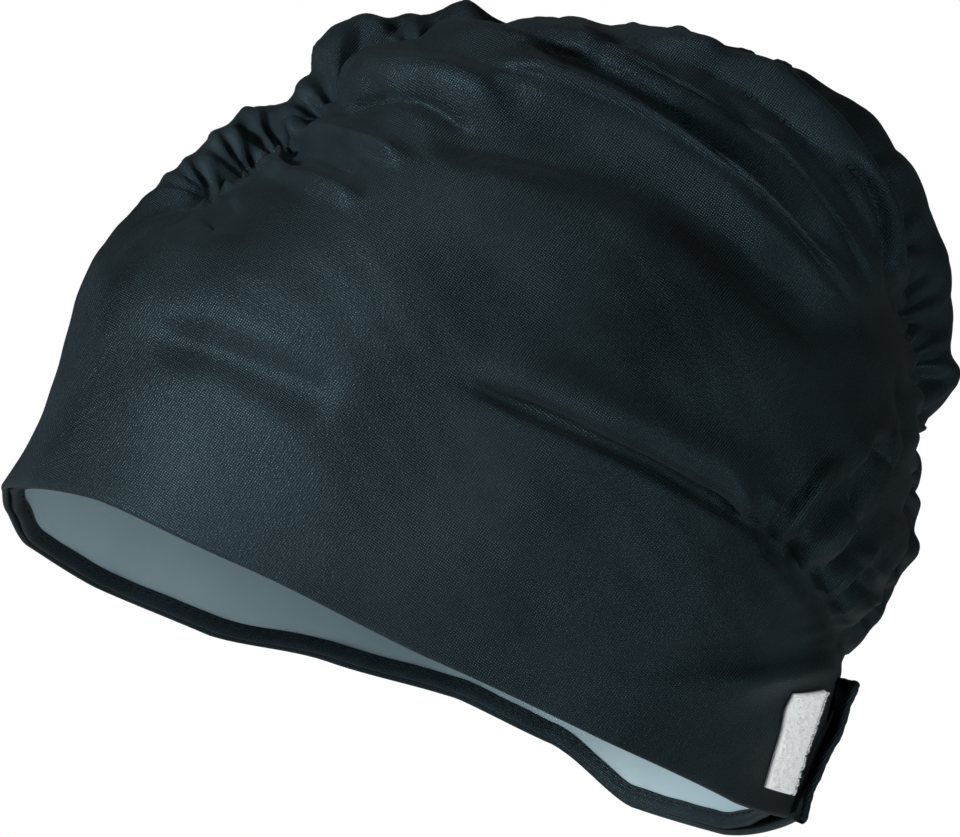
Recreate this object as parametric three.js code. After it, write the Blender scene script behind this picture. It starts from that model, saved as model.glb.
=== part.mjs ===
import * as THREE from "three";

// Swim cap of woven cloth in its worn form. Millimetres, +Z up, brow toward -Y,
// near side with the loop strip toward +X. The origin is the middle of the opening at the rim.

// Head form that the cloth is drawn over, measured square to the opening.
const rim_slope = 22.6;
const form_height = 150.4;
const brow_reach = 103.5;
const nape_reach = 94;
const half_width = 76;
const crown_shift = 8;

// Layers.
const cloth_thickness = 1.7;
const lining_thickness = 1.0;
const hem_thickness = 1.2;
const hem_height = 4.6;
const layer_gap = 0.4;

// Puffs and folds.
const puff_unit = 20;
const fold_unit = 5;
const seam_pull = 7;
const side_lift = 5;
const rim_ease_height = 24;
const rim_wave_unit = 6;

// Side sheet on which the folds are laid out: its eye is level with the middle of the cap.
const sheet_length = 230.4;
const sheet_height = 200.9;
const sheet_tip = 8;
const sheet_eye = 1300;
const sheet_mid_y = 16.6;
const sheet_mid_z = 58;
const opening_across = 0.428;
const opening_up = 0.2115;

// Slit and closure at the nape.
const slit_height_rows = 4;
const slit_far_side = 93;
const near_tab_end = 85.5;
const far_tab_end = 83;
const near_tab_flare = 1.6;
const far_tab_flare = 6.2;
const strip_base_rows = 0.7;
const strip_tall_rows = 2.45;
const strip_wide_columns = 4.9;
const loop_margin_columns = 0.7;
const hook_margin_columns = 1.2;
const strip_thickness = 1.5;
const hook_thickness = 1.1;

// Mesh steps.
const cloth_columns = 80;
const cloth_rows = 26;
const tab_columns = 4;
const lining_columns = 44;
const lining_rows = 13;

// Head form, rim to crown: height, brow reach, nape reach and half width as shares.
const FORM = [
  [0.0, 1.008, 1.0, 0.965],
  [0.186, 0.955, 0.99, 0.985],
  [0.366, 0.96, 0.968, 1.0],
  [0.519, 0.85, 0.947, 0.987],
  [0.652, 0.7, 0.92, 0.935],
  [0.778, 0.61, 0.81, 0.82],
  [0.884, 0.42, 0.718, 0.64],
  [0.964, 0.2, 0.49, 0.375],
];

// Rim wave: turn from the near side by way of the nape, and height.
const RIM_WAVE = [
  [0, -0.6],
  [30, -0.8],
  [60, -0.7],
  [90, 0.0],
  [118, -1.1],
  [142, -1.2],
  [160, 0.1],
  [178, 0.4],
  [196, -0.3],
  [212, -1.3],
  [232, -1.5],
  [250, -1.25],
  [262, -0.5],
  [270, 0.0],
  [285, 0.1],
  [310, 0.5],
  [335, 0.0],
  [360, -0.6],
];

// Puff height beside the centre seam: angle over the crown from the brow, near side, far side,
// how strongly the seam draws the cloth in, and the seam's way off the middle in half widths.
const PUFF = [
  [-30, 0.12, 0.12, 0, 0.2],
  [0, 0.26, 0.3, 0, 0.2],
  [9, 0.16, 0.45, 0.1, 0.2],
  [16, 0.02, 0.58, 0.6, 0.2],
  [20, 0.0, 0.68, 0.9, 0.18],
  [25, 0.0, 0.84, 1, 0.14],
  [34, 0.02, 1.0, 1, 0.07],
  [40, 0.04, 0.92, 1, 0.04],
  [43, 0.08, 0.75, 1, 0.03],
  [47, 0.12, 0.95, 1, 0.01],
  [49.5, 0.18, 1.4, 1, 0],
  [53, 0.3, 1.45, 1, 0],
  [57, 0.35, 1.2, 1, 0],
  [61, 0.4, 1.15, 1, 0],
  [66, 0.45, 1.25, 1, 0],
  [71, 0.5, 0.8, 1, 0],
  [82, 0.55, 0.7, 1, 0],
  [96, 0.6, 0.92, 1, 0],
  [104, 0.55, 1.2, 1, 0],
  [112, 0.5, 1.25, 1, 0],
  [120, 0.4, 1.18, 1, 0],
  [130, 0.15, 0.92, 1, 0],
  [139, 0.05, 0.85, 1, 0],
  [146, 0.12, 0.82, 1, 0],
  [151.5, 0.18, 0.1, 1, 0],
  [157, 0.25, 0.46, 1, 0],
  [168, 0.25, 0.5, 1, 0],
  [178, 0.18, 0.3, 1, 0],
  [186, 0.1, 0.12, 0.6, 0],
  [210, 0.05, 0.05, 0, 0],
];

// Folds on the side sheet: start, middle and end as shares across and up, half width as a share
// of the sheet length, rise as a share of the fold unit, and the rise of its match on the far side.
const FOLDS = [
  [0.52, 0.96, 0.71, 0.865, 0.9, 0.62, 0.012, -0.6, -0.4],
  [0.604, 0.96, 0.695, 0.913, 0.805, 0.812, 0.016, -0.6, -0.8],
  [0.743, 0.928, 0.882, 0.777, 0.914, 0.621, 0.022, 0.8, 0.5],
  [0.5, 0.916, 0.729, 0.797, 0.906, 0.594, 0.034, 0.8, 0.9],
  [0.5, 0.877, 0.708, 0.761, 0.865, 0.57, 0.03, -0.9, -0.7],
  [0.474, 0.546, 0.656, 0.459, 0.792, 0.367, 0.012, -0.5, -0.5],
  [0.48, 0.585, 0.665, 0.5, 0.8, 0.41, 0.03, 0.6, 0.6],
  [0.792, 0.367, 0.847, 0.299, 0.878, 0.223, 0.013, -1.1, -1.1],
  [0.521, 0.498, 0.594, 0.468, 0.667, 0.438, 0.012, -0.4, -0.3],
  [0.814, 0.346, 0.833, 0.387, 0.868, 0.45, 0.014, 0.6, 0.6],
  [0.823, 0.335, 0.865, 0.402, 0.909, 0.49, 0.018, 0.7, 0.5],
  [0.868, 0.363, 0.896, 0.442, 0.927, 0.466, 0.013, -0.7, -0.5],
  [0.882, 0.315, 0.917, 0.343, 0.941, 0.391, 0.016, 0.6, 0.6],
  [0.156, 0.602, 0.264, 0.562, 0.354, 0.507, 0.022, -0.42, -0.4],
  [0.639, 0.196, 0.708, 0.211, 0.847, 0.223, 0.014, -0.5, -0.4],
  [0.743, 0.176, 0.813, 0.203, 0.868, 0.208, 0.014, 0.4, 0.4],
  [0.716, 0.116, 0.764, 0.14, 0.823, 0.164, 0.012, -0.35, -0.35],
  [0.302, 0.827, 0.354, 0.821, 0.38, 0.821, 0.014, 0.5, 0.6],
  [0.273, 0.797, 0.323, 0.785, 0.36, 0.77, 0.014, 0.4, 0.5],
  [0.35, 0.872, 0.425, 0.91, 0.5, 0.85, 0.014, 0.6, 0.3],
  [0.36, 0.9, 0.44, 0.945, 0.56, 0.92, 0.016, 0.4, 0.3],
];

const slope_sin = Math.sin(THREE.MathUtils.degToRad(rim_slope));
const slope_cos = Math.cos(THREE.MathUtils.degToRad(rim_slope));
const tip_sin = Math.sin(THREE.MathUtils.degToRad(sheet_tip));
const tip_cos = Math.cos(THREE.MathUtils.degToRad(sheet_tip));

function smooth(from, to, value) {
  const share = Math.min(1, Math.max(0, (value - from) / (to - from)));
  return share * share * (3 - 2 * share);
}

// Value of a table at a place between its rows, with a smooth curve through the rows.
function along(rows, place, column) {
  let i = 0;
  while (i < rows.length - 2 && rows[i + 1][0] <= place) {
    i += 1;
  }
  const a = rows[i];
  const b = rows[i + 1];
  const share = Math.min(1, Math.max(0, (place - a[0]) / (b[0] - a[0])));
  const eased = share * share * (3 - 2 * share);
  return a[column] + (b[column] - a[column]) * (0.5 * share + 0.5 * eased);
}

// One column of the form at a share of the way from rim to crown.
function formValue(share, column) {
  const crown = [1, -crown_shift / brow_reach, crown_shift / nape_reach, 0][column];
  const last = FORM.length;
  const at = (row) => {
    if (row < 0) {
      return 2 * FORM[0][column] - FORM[1][column];
    }
    if (row < last) {
      return FORM[row][column];
    }
    if (row === last) {
      return crown;
    }
    return column === 0 ? FORM[last - 1][0] : 2 * crown - FORM[last - 1][column];
  };
  const place = Math.min(share, 1) * last;
  const row = Math.min(last - 1, Math.floor(place));
  const f = place - row;
  const p0 = at(row - 1);
  const p1 = at(row);
  const p2 = at(row + 1);
  const p3 = at(row + 2);
  return p1 + 0.5 * f * (p2 - p0 + f * (2 * p0 - 5 * p1 + 4 * p2 - p3
    + f * (3 * (p1 - p2) + p3 - p0)));
}

function turned(a, b, x) {
  return new THREE.Vector3(x, a * slope_cos + b * slope_sin, b * slope_cos - a * slope_sin);
}

// Point of the head form: turn from the near side by way of the nape, share from rim to crown.
function formPoint(turn, share) {
  const angle = THREE.MathUtils.degToRad(turn);
  const reach = Math.sin(angle) > 0
    ? nape_reach * formValue(share, 2) - crown_shift
    : brow_reach * formValue(share, 1) + crown_shift;
  const a = crown_shift + reach * Math.sin(angle);
  const wave = rim_wave_unit * along(RIM_WAVE, turn, 1) * (1 - smooth(0, 0.32, share));
  const b = form_height * formValue(share, 0) + wave;
  return turned(a, b, half_width * formValue(share, 3) * Math.cos(angle));
}

function formNormal(turn, share) {
  if (share > 0.999) {
    return turned(0, 1, 0);
  }
  const round = formPoint((turn + 0.5) % 360, share).sub(formPoint((turn + 359.5) % 360, share));
  const low = Math.max(0, share - 0.005);
  const up = formPoint(turn, share + 0.005).sub(formPoint(turn, low));
  return round.cross(up).normalize();
}

function sheetPlace(point) {
  const scale = 1 + point.x / sheet_eye;
  const y = sheet_mid_y + (point.y - sheet_mid_y) * scale;
  const z = sheet_mid_z + ((point.z - sheet_mid_z) * tip_cos + point.x * tip_sin) * scale;
  return [opening_across + y / sheet_length, opening_up + z / sheet_height];
}

function puffHeight(point) {
  const a = point.y * slope_cos - point.z * slope_sin;
  const b = point.y * slope_sin + point.z * slope_cos;
  let angle = THREE.MathUtils.radToDeg(Math.atan2(b - form_height / 3, -a));
  if (angle < -90) {
    angle += 360;
  }
  const off = point.x - half_width * along(PUFF, angle, 4);
  const beside = puff_unit * along(PUFF, angle, off > 0 ? 1 : 2);
  const other = puff_unit * along(PUFF, angle, off > 0 ? 2 : 1);
  const mixed = beside + (other - beside) * 0.5 * (1 - smooth(0, 8, Math.abs(off)));
  const pull = along(PUFF, angle, 3) * Math.exp(-((off / seam_pull) ** 2));
  const side = side_lift * (0.55 + 0.45 * smooth(form_height * 0.3, form_height * 0.5, b));
  const out = smooth(0.4, 0.95, Math.abs(point.x) / half_width);
  return (mixed * (1 - out) + side * out) * (1 - pull);
}

function foldRise(point) {
  const near = point.x > 0;
  const mirrored = near ? point : new THREE.Vector3(-point.x, point.y, point.z);
  const [across, up] = sheetPlace(mirrored);
  const tall = sheet_height / sheet_length;
  let rise = 0;
  for (const [x0, y0, x1, y1, x2, y2, half, nearRise, farRise] of FOLDS) {
    let best = 9;
    let at = 0;
    for (let i = 0; i <= 24; i += 1) {
      const s = i / 24;
      const wa = (1 - s) * (1 - 2 * s);
      const wb = 4 * s * (1 - s);
      const wc = s * (2 * s - 1);
      const dx = across - (wa * x0 + wb * x1 + wc * x2);
      const dy = (up - (wa * y0 + wb * y1 + wc * y2)) * tall;
      const d = Math.hypot(dx, dy);
      if (d < best) {
        best = d;
        at = s;
      }
    }
    const ends = smooth(0, 0.18, at) * (1 - smooth(0.86, 1, at)) + 0.25;
    rise += (near ? nearRise : farRise) * ends * Math.exp(-((best / half) ** 2));
  }
  return fold_unit * rise * smooth(1, 9, Math.abs(point.x));
}

// How far the near and the far tab stand off the form, from the slit top down.
function tabFlare(turn, share) {
  const drop = Math.sqrt(1 - smooth(0, slit_height_rows / cloth_rows, share));
  return turn > 60 && turn < 90.01 ? near_tab_flare * smooth(62, near_tab_end, turn) * drop : 0;
}

function farFlare(turn, share) {
  const drop = 1 - (share / (slit_height_rows / cloth_rows)) ** 3;
  const free = 1 - smooth(far_tab_end + 3, 90, turn);
  const out = far_tab_flare * (1 - smooth(far_tab_end - 6, 122, turn));
  return out * (Math.max(0, drop) * (1 - free) + free);
}

function clothLift(turn, share, far) {
  const point = formPoint(turn, share);
  const normal = formNormal(turn, share);
  const puff = puffHeight(point);
  const puffed = point.clone().addScaledVector(normal, puff);
  const ease = smooth(-0.002, rim_ease_height / form_height / 1.15, share);
  const lift = Math.max(0, (puff + foldRise(puffed)) * ease) + 0.2;
  return [point, normal, lift + (far ? farFlare(turn, share) : tabFlare(turn, share))];
}

// Closed solid between an outer and an inner sheet that share their triangles.
function thicken(outer, inner, triangles) {
  const count = outer.length;
  const faces = [];
  const edges = new Map();
  for (const [a, b, c] of triangles) {
    faces.push([a, b, c], [a + count, c + count, b + count]);
    for (const [from, to] of [[a, b], [b, c], [c, a]]) {
      if (edges.has(`${to}:${from}`)) {
        edges.delete(`${to}:${from}`);
      } else {
        edges.set(`${from}:${to}`, [from, to]);
      }
    }
  }
  for (const [from, to] of edges.values()) {
    faces.push([to, from, from + count], [to, from + count, to + count]);
  }
  const geometry = new THREE.BufferGeometry();
  const positions = [...outer, ...inner].flatMap((p) => [p.x, p.y, p.z]);
  geometry.setAttribute("position", new THREE.Float32BufferAttribute(positions, 3));
  geometry.setIndex(faces.flat());
  return geometry.toNonIndexed();
}

// Turn of a column: closer together at the brow and the nape, and drawn back from the slit.
function columnTurn(column, columns, share, slitShare) {
  const even = (column / columns) * 360;
  const turn = 90 - even;
  const packed = turn + 9 * Math.sin(THREE.MathUtils.degToRad(2 * turn));
  if (share >= slitShare || packed < 0) {
    return (packed + 720) % 360;
  }
  const open = Math.sqrt(1 - smooth(0, slitShare, share));
  const end = 90 - (90 - near_tab_end) * Math.min(1, open * 1.6);
  return (packed / 90) * end;
}

// Sheet from rim to crown that is cut at the nape below the slit top.
function cappedSheet(columns, rows, slitRows, extra, pointAt) {
  const points = [];
  const index = [];
  for (let j = 0; j < rows; j += 1) {
    const row = [];
    for (let i = 0; i < columns; i += 1) {
      row.push(points.length);
      points.push(pointAt(i, j));
    }
    if (j < slitRows) {
      for (let i = columns; i <= columns + extra; i += 1) {
        row.push(points.length);
        points.push(pointAt(i, j));
      }
    } else {
      row.push(row[0]);
      if (j === slitRows) {
        for (let i = columns + 1; i <= columns + extra; i += 1) {
          row.push(points.length);
          points.push(pointAt(i, j));
        }
      }
    }
    index.push(row);
  }
  const crown = points.length;
  points.push(pointAt(0, rows));
  const triangles = [];
  for (let j = 0; j < rows - 1; j += 1) {
    const last = j < slitRows ? columns + extra : columns;
    for (let i = 0; i < last; i += 1) {
      const a = index[j][i];
      const b = index[j][i + 1];
      const c = index[j + 1][i + 1];
      const d = index[j + 1][i];
      if (i < columns / 2) {
        triangles.push([a, d, c], [a, c, b]);
      } else {
        triangles.push([a, d, b], [b, d, c]);
      }
    }
  }
  for (let i = 0; i < columns; i += 1) {
    triangles.push([index[rows - 1][i], crown, index[rows - 1][i + 1]]);
  }
  return [points, triangles];
}

function layered(columns, rows, slitRows, extra, placeAt, thickness) {
  const [places, triangles] = cappedSheet(columns, rows, slitRows, extra, placeAt);
  const outer = places.map(([point, normal, lift]) => (
    point.clone().addScaledVector(normal, lift + thickness)
  ));
  const inner = places.map(([point, normal, lift]) => point.clone().addScaledVector(normal, lift));
  return thicken(outer, inner, triangles);
}

function mesh(name, geometry, colour, roughness) {
  const material = new THREE.MeshStandardMaterial({ color: colour, roughness, metalness: 0 });
  const made = new THREE.Mesh(geometry, material);
  made.name = name;
  return made;
}

const slit_share = slit_height_rows / cloth_rows;

function clothPlace(column, row) {
  const share = row / cloth_rows;
  if (column < cloth_columns) {
    const turn = columnTurn(column, cloth_columns, share, slit_share);
    return clothLift(turn, share, turn > 90 && turn < 200 && share < slit_share);
  }
  const turn = 90 - ((90 - far_tab_end) * (column - cloth_columns)) / tab_columns;
  return clothLift(turn, share, true);
}

const hem_share = hem_height / form_height / 1.49;

function liningPlace(column, row) {
  const share = hem_share + ((1 - hem_share) * row) / lining_rows;
  const below = row < 2;
  let turn = columnTurn(column, lining_columns, share, slit_share);
  if (below && column >= lining_columns) {
    turn = slit_far_side;
  }
  return [formPoint(turn, share), formNormal(turn, share), -layer_gap - lining_thickness];
}

function hemStrip() {
  const steps = lining_columns;
  const gap_share = layer_gap / form_height / 1.49;
  const points = [];
  for (const share of [gap_share, hem_share - 2 * gap_share]) {
    for (let i = 0; i <= steps; i += 1) {
      const turn = i < steps ? columnTurn(i, steps, share, slit_share) : slit_far_side;
      points.push([formPoint(turn, share), formNormal(turn, share)]);
    }
  }
  const triangles = [];
  for (let i = 0; i < steps; i += 1) {
    const d = i + steps + 1;
    triangles.push([i, d, i + 1], [i + 1, d, d + 1]);
  }
  const outer = points.map(([p, n]) => p.clone().addScaledVector(n, -layer_gap));
  const inner = points.map(([p, n]) => p.clone().addScaledVector(n, -layer_gap - hem_thickness));
  return thicken(outer, inner, triangles);
}

// Place on the cloth between its mesh columns and rows, at a distance off the inner face.
function clothBetween(column, row, off) {
  const i = Math.floor(column);
  const j = Math.floor(row);
  const made = new THREE.Vector3();
  for (const [di, dj] of [[0, 0], [1, 0], [0, 1], [1, 1]]) {
    const [point, normal, lift] = clothPlace(i + di, j + dj);
    const weight = (di ? column - i : i + 1 - column) * (dj ? row - j : j + 1 - row);
    made.addScaledVector(point.clone().addScaledVector(normal, lift + off), weight);
  }
  return made;
}

function stops(from, to) {
  const list = [from];
  for (let whole = Math.floor(from) + 1; whole < to; whole += 1) {
    list.push(whole);
  }
  list.push(to);
  return list;
}

// Strip of the closure on a tab: a small patch that follows the cloth at a steady distance.
function tabStrip(columns, rows, off, thickness) {
  const outer = [];
  const inner = [];
  const triangles = [];
  for (const row of rows) {
    for (const column of columns) {
      outer.push(clothBetween(column, row, off + thickness));
      inner.push(clothBetween(column, row, off));
    }
  }
  for (let j = 0; j < rows.length - 1; j += 1) {
    for (let i = 0; i < columns.length - 1; i += 1) {
      const a = j * columns.length + i;
      const d = a + columns.length;
      if (columns[0] < cloth_columns / 2) {
        triangles.push([a, d, d + 1], [a, d + 1, a + 1]);
      } else {
        triangles.push([a, d, a + 1], [a + 1, d, d + 1]);
      }
    }
  }
  return thicken(outer, inner, triangles);
}

const cap = new THREE.Group();
cap.name = "swim_cap";

const cloth = layered(
  cloth_columns, cloth_rows, slit_height_rows, tab_columns, clothPlace, cloth_thickness,
);
cap.add(mesh("cap_cloth", cloth, 0x262f34, 0.62));

const lining = layered(lining_columns, lining_rows, 2, 0, liningPlace, lining_thickness);
cap.add(mesh("lining", lining, 0x93a9b0, 0.7));

cap.add(mesh("hem_strip", hemStrip(), 0x23292c, 0.7));

const strip_rows = stops(strip_base_rows, strip_base_rows + strip_tall_rows);
const loop_columns = stops(loop_margin_columns, loop_margin_columns + strip_wide_columns);
const loops = tabStrip(loop_columns, strip_rows, cloth_thickness + layer_gap, strip_thickness);
cap.add(mesh("loop_strip", loops, 0xdde8e8, 0.9));

const hook_first = cloth_columns + tab_columns - hook_margin_columns - strip_wide_columns;
const hook_columns = stops(hook_first, hook_first + strip_wide_columns);
const hooks = tabStrip(hook_columns, strip_rows, -layer_gap - hook_thickness, hook_thickness);
cap.add(mesh("hook_strip", hooks, 0x1b2023, 0.8));

export default cap;
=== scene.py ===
# %% [markdown]
# # Swim cap: how its cloth, gathers and closure are made
# This script dresses the plain solid of a swim cap in its real cloth. The cap is one piece of black
# woven cloth, drawn in along a gathered seam over the crown and along a shorter one on each side of the
# nape, with a smooth band round the brow. The steps below follow the order a maker would think in: the
# inner form, the slack of the cloth, its folds, its fine gathers, and last the closure.
#
# The plain solid gives the size and the place. It could be dressed by sculpting or by a cloth
# simulation, but a cap that is drawn in by thread has folds in known places, so each kind of fold is
# written down as a short rule and all the rules are added up. That way each one can be changed alone.

# %% Start from the measured frame
import math

import bmesh
import bpy
import numpy as np
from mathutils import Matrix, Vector


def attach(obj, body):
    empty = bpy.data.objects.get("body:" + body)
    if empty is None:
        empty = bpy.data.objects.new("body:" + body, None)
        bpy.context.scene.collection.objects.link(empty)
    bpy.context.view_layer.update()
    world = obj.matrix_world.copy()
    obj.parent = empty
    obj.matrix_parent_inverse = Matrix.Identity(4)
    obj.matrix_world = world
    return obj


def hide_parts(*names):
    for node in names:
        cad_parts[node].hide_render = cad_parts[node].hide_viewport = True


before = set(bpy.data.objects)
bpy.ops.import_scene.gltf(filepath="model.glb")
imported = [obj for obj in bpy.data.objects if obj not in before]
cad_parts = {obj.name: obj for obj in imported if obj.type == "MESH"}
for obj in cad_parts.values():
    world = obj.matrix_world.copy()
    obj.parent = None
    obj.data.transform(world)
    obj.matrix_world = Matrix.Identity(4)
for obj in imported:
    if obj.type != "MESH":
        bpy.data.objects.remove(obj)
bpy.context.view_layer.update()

# %% [markdown]
# ## The inner form
# Loose cloth has no form of its own, so the first thing to settle is the smooth inner form that it is
# drawn over. It is described square to the rim: how high, how far forward, how far back and how wide, at
# eight levels. Keeping this form apart from the cloth means that every later step only says how far the
# cloth stands off it.

# %% Sizes of the inner form and the cloth, in millimetres
rim_slope = math.radians(22.6)
form_height = 150.4
brow_reach = 103.5
nape_reach = 94
half_width = 76
crown_shift = 8
cloth_thickness = 1.7

# Each level: height, brow reach, nape reach and half width as shares.
FORM = np.array([
    [0.0, 1.008, 1.0, 0.965],
    [0.186, 0.955, 0.99, 0.985],
    [0.366, 0.96, 0.968, 1.0],
    [0.519, 0.85, 0.947, 0.987],
    [0.652, 0.7, 0.92, 0.935],
    [0.778, 0.61, 0.81, 0.82],
    [0.884, 0.42, 0.718, 0.64],
    [0.964, 0.2, 0.49, 0.375],
])

# Height of the rim all round: turn from the near side by way of the nape, and the wave.
RIM_WAVE = np.array([
    [0, -0.6], [30, -0.8], [60, -0.7], [90, 0.0], [118, -1.1], [142, -1.2],
    [160, 0.1], [178, 0.4], [196, -0.3], [212, -1.3], [232, -1.5], [250, -1.25],
    [262, -0.5], [270, 0.0], [285, 0.1], [310, 0.5], [335, 0.0], [360, -0.6],
])
rim_wave_unit = 6
rim_wave_fades_at = 0.32
print("rim wave:", len(RIM_WAVE), "rows, form levels:", len(FORM))

# %% [markdown]
# Every table in this lesson is read by one of two helpers. One eases from a low to a high value, for
# anything that fades in or out. The other walks along the rows of a table and rounds the corners a
# little, so that a dozen rows are enough for an even curve.

# %% Easing, and curves through tables
def smooth(low, high, value):
    share = np.clip((value - low) / (high - low), 0, 1)
    return share * share * (3 - 2 * share)


def along(rows, place, column):
    i = np.clip(np.searchsorted(rows[:, 0], place, side="right") - 1, 0, len(rows) - 2)
    share = np.clip((place - rows[i, 0]) / (rows[i + 1, 0] - rows[i, 0]), 0, 1)
    eased = share * share * (3 - 2 * share)
    return rows[i, column] + (rows[i + 1, column] - rows[i, column]) * (0.5 * share + 0.5 * eased)

# %% [markdown]
# The form could be a subdivided sphere pulled into shape, but then its levels couldn't be set one by
# one. Here a smooth curve goes through the eight levels and closes at the crown, and any point is given
# by its turn round the form and its share of the way up.

# %% Points and outward directions on the inner form
def form_value(share, column):
    crown = [1, -crown_shift / brow_reach, crown_shift / nape_reach, 0][column]
    rows = FORM[:, column]
    beyond = rows[-1] if column == 0 else 2 * crown - rows[-1]
    p = np.concatenate([[2 * rows[0] - rows[1]], rows, [crown, beyond]])
    place = np.minimum(share, 1) * len(rows)
    i = np.clip(np.floor(place).astype(int), 0, len(rows) - 1)
    f = place - i
    p0, p1, p2, p3 = p[i], p[i + 1], p[i + 2], p[i + 3]
    bend = 2 * p0 - 5 * p1 + 4 * p2 - p3 + f * (3 * (p1 - p2) + p3 - p0)
    return p1 + 0.5 * f * (p2 - p0 + f * bend)


def form_point(turn, share):
    angle = np.radians(turn)
    nape = nape_reach * form_value(share, 2) - crown_shift
    brow = brow_reach * form_value(share, 1) + crown_shift
    a = crown_shift + np.where(np.sin(angle) > 0, nape, brow) * np.sin(angle)
    wave = rim_wave_unit * along(RIM_WAVE, turn % 360, 1) * (1 - smooth(0, rim_wave_fades_at, share))
    b = form_height * form_value(share, 0) + wave
    x = half_width * form_value(share, 3) * np.cos(angle)
    cos, sin = math.cos(rim_slope), math.sin(rim_slope)
    return np.stack([x, a * cos + b * sin, b * cos - a * sin], -1)


def unit(v):
    return v / np.maximum(np.linalg.norm(v, axis=-1, keepdims=True), 1e-9)


def form_normal(turn, share):
    share = np.minimum(share, 0.997)
    around = form_point(turn + 0.5, share) - form_point(turn - 0.5, share)
    upward = form_point(turn, share + 0.003) - form_point(turn, np.maximum(share - 0.003, 0))
    return unit(np.cross(around, upward))


print("inner form:", round(brow_reach + nape_reach), "mm long,", 2 * half_width, "mm wide,",
      round(form_height), "mm high over the rim")

# %% [markdown]
# ## How slack the cloth is beside the centre seam
# The seam holds the cloth down on the form, and the cloth between the seams stands off in puffs. Going
# over the crown from brow to nape, the table says how high the puff stands on each side of the seam and
# how hard the seam pulls. The two sides differ: the big ruffle above the brow and the full lobe at the
# back belong to the far side.

# %% Puff table: angle over the crown, near side, far side, pull of the seam, its way off the middle
PUFF = np.array([
    [-30, 0.12, 0.12, 0, 0.2],
    [0, 0.26, 0.3, 0, 0.2],
    [9, 0.16, 0.45, 0.1, 0.2],
    [16, 0.02, 0.58, 0.6, 0.2],
    [20, 0.0, 0.68, 0.9, 0.18],
    [25, 0.0, 0.84, 1, 0.14],
    [34, 0.02, 1.0, 1, 0.07],
    [40, 0.04, 0.92, 1, 0.04],
    [43, 0.08, 0.75, 1, 0.03],
    [45.5, 0.1, 0.85, 1, 0.02],
    [47, 0.12, 1.25, 1, 0.01],
    [49.5, 0.18, 1.34, 1, 0],
    [53, 0.3, 1.32, 1, 0],
    [57, 0.35, 1.2, 1, 0],
    [61, 0.4, 1.15, 1, 0],
    [66, 0.45, 1.25, 1, 0],
    [71, 0.5, 0.8, 1, 0],
    [82, 0.55, 0.7, 1, 0],
    [96, 0.6, 0.92, 1, 0],
    [104, 0.55, 1.2, 1, 0],
    [112, 0.5, 1.25, 1, 0],
    [120, 0.4, 1.18, 1, 0],
    [130, 0.15, 0.92, 1, 0],
    [139, 0.05, 0.85, 1, 0],
    [146, 0.12, 0.82, 1, 0],
    [151.5, 0.18, 0.1, 1, 0],
    [157, 0.25, 0.46, 1, 0],
    [168, 0.25, 0.6, 1, 0],
    [178, 0.18, 0.42, 1, 0],
    [186, 0.1, 0.2, 0.6, 0],
    [210, 0.05, 0.05, 0, 0],
])
puff_unit = 20
seam_pull = 7
side_lift = 5
puff_mix_width = 8
print("puff table:", len(PUFF), "rows")

# %% [markdown]
# A point is placed by its angle over the crown and by its way off the seam. Close to the seam the two
# puffs are mixed, so that the cloth runs through under the thread without a step.

# %% Height of the puffs
def seam_angle(point):
    a = point[..., 1] * math.cos(rim_slope) - point[..., 2] * math.sin(rim_slope)
    b = point[..., 1] * math.sin(rim_slope) + point[..., 2] * math.cos(rim_slope)
    angle = np.degrees(np.arctan2(b - form_height / 3, -a))
    return np.where(angle < -90, angle + 360, angle), b


def off_seam(point):
    return point[..., 0] - half_width * along(PUFF, seam_angle(point)[0], 4)


def puff_height(point):
    angle, b = seam_angle(point)
    x = off_seam(point)
    near, far = along(PUFF, angle, 1), along(PUFF, angle, 2)
    beside = puff_unit * np.where(x > 0, near, far)
    other = puff_unit * np.where(x > 0, far, near)
    mixed = beside + (other - beside) * 0.5 * (1 - smooth(0, puff_mix_width, np.abs(x)))
    pull = along(PUFF, angle, 3) * np.exp(-(x / seam_pull) ** 2)
    side = side_lift * (0.55 + 0.45 * smooth(form_height * 0.3, form_height * 0.5, b))
    out = smooth(0.4, 0.95, np.abs(point[..., 0]) / half_width)
    return (mixed * (1 - out) + side * out) * (1 - pull)


print("tallest puff:", round(puff_unit * PUFF[:, 1:3].max()), "mm")

# %% [markdown]
# ## The long folds
# Cloth that is pulled between two seams makes long folds: ridges and valleys that run from where it is
# slack to where it is held. They are easiest to lay out on a side sheet, seen a little from below. Each
# row gives a fold's start, middle and end, its half width, how far it rises or sinks, and how strongly
# the same fold shows on the far side. Sharp rows are creases, where the cloth is pulled tight.

# %% The side sheet: size, tip, distance of the eye, and where the opening lies
sheet_length = 230.4
sheet_height = 200.9
sheet_tip = math.radians(8)
sheet_eye = 1300
sheet_mid_y = 16.6
sheet_mid_z = 58
opening_across = 0.428
opening_up = 0.2115
fold_unit = 5

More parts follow.
